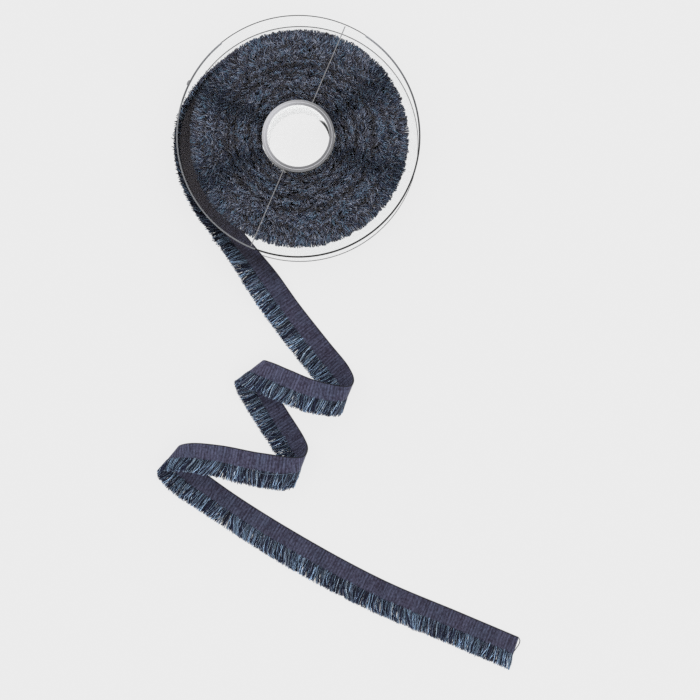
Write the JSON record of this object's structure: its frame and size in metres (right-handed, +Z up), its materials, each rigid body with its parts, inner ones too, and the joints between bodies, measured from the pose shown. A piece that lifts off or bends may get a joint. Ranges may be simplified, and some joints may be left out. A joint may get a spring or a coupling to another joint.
{
  "type": "fringe trim on a clear reel",
  "caption": "Navy cut fringe trim with a woven heading, wound on a clear flanged reel that lies flat, its loose end curled and laid out on the table.",
  "frame": {"origin": "middle of the footprint, on the table that the reel and the loose end lie on", "axes": "+Z up along the reel's axis, +Y from the cut end of the tail towards the reel, +X to the right when seen from above"},
  "size_m": [0.267, 0.4796, 0.0282],
  "materials": {
    "clear_plastic": "clear moulded plastic with a polished face",
    "wound_fringe": "packed ends of dark navy and steel blue yarn",
    "woven_heading": "ribbed slate navy weave with lighter blue picks and a dark selvedge",
    "fringe_yarn": "soft cut yarns, deep navy mixed with steel blue"
  },
  "bodies": {
    "root": {"reel_back": "clear_plastic", "reel_front": "clear_plastic", "roll": "wound_fringe", "tail_heading": "woven_heading", "tail_fringe_wrap_1": "fringe_yarn", "tail_fringe_wrap_2": "fringe_yarn", "tail_fringe_wrap_3": "fringe_yarn", "tail_fringe_run_1": "fringe_yarn", "tail_fringe_fold_1_in": "fringe_yarn", "tail_fringe_fold_1_out": "fringe_yarn", "tail_fringe_run_2": "fringe_yarn", "tail_fringe_fold_2_in": "fringe_yarn", "tail_fringe_fold_2_out": "fringe_yarn", "tail_fringe_run_3": "fringe_yarn", "tail_fringe_fold_3_in": "fringe_yarn", "tail_fringe_fold_3_out": "fringe_yarn", "tail_fringe_run_4": "fringe_yarn", "tail_fringe_fold_4_in": "fringe_yarn", "tail_fringe_fold_4_out": "fringe_yarn", "tail_fringe_run_5": "fringe_yarn", "tail_fringe_run_5_end": "fringe_yarn"}
  },
  "joints": []
}
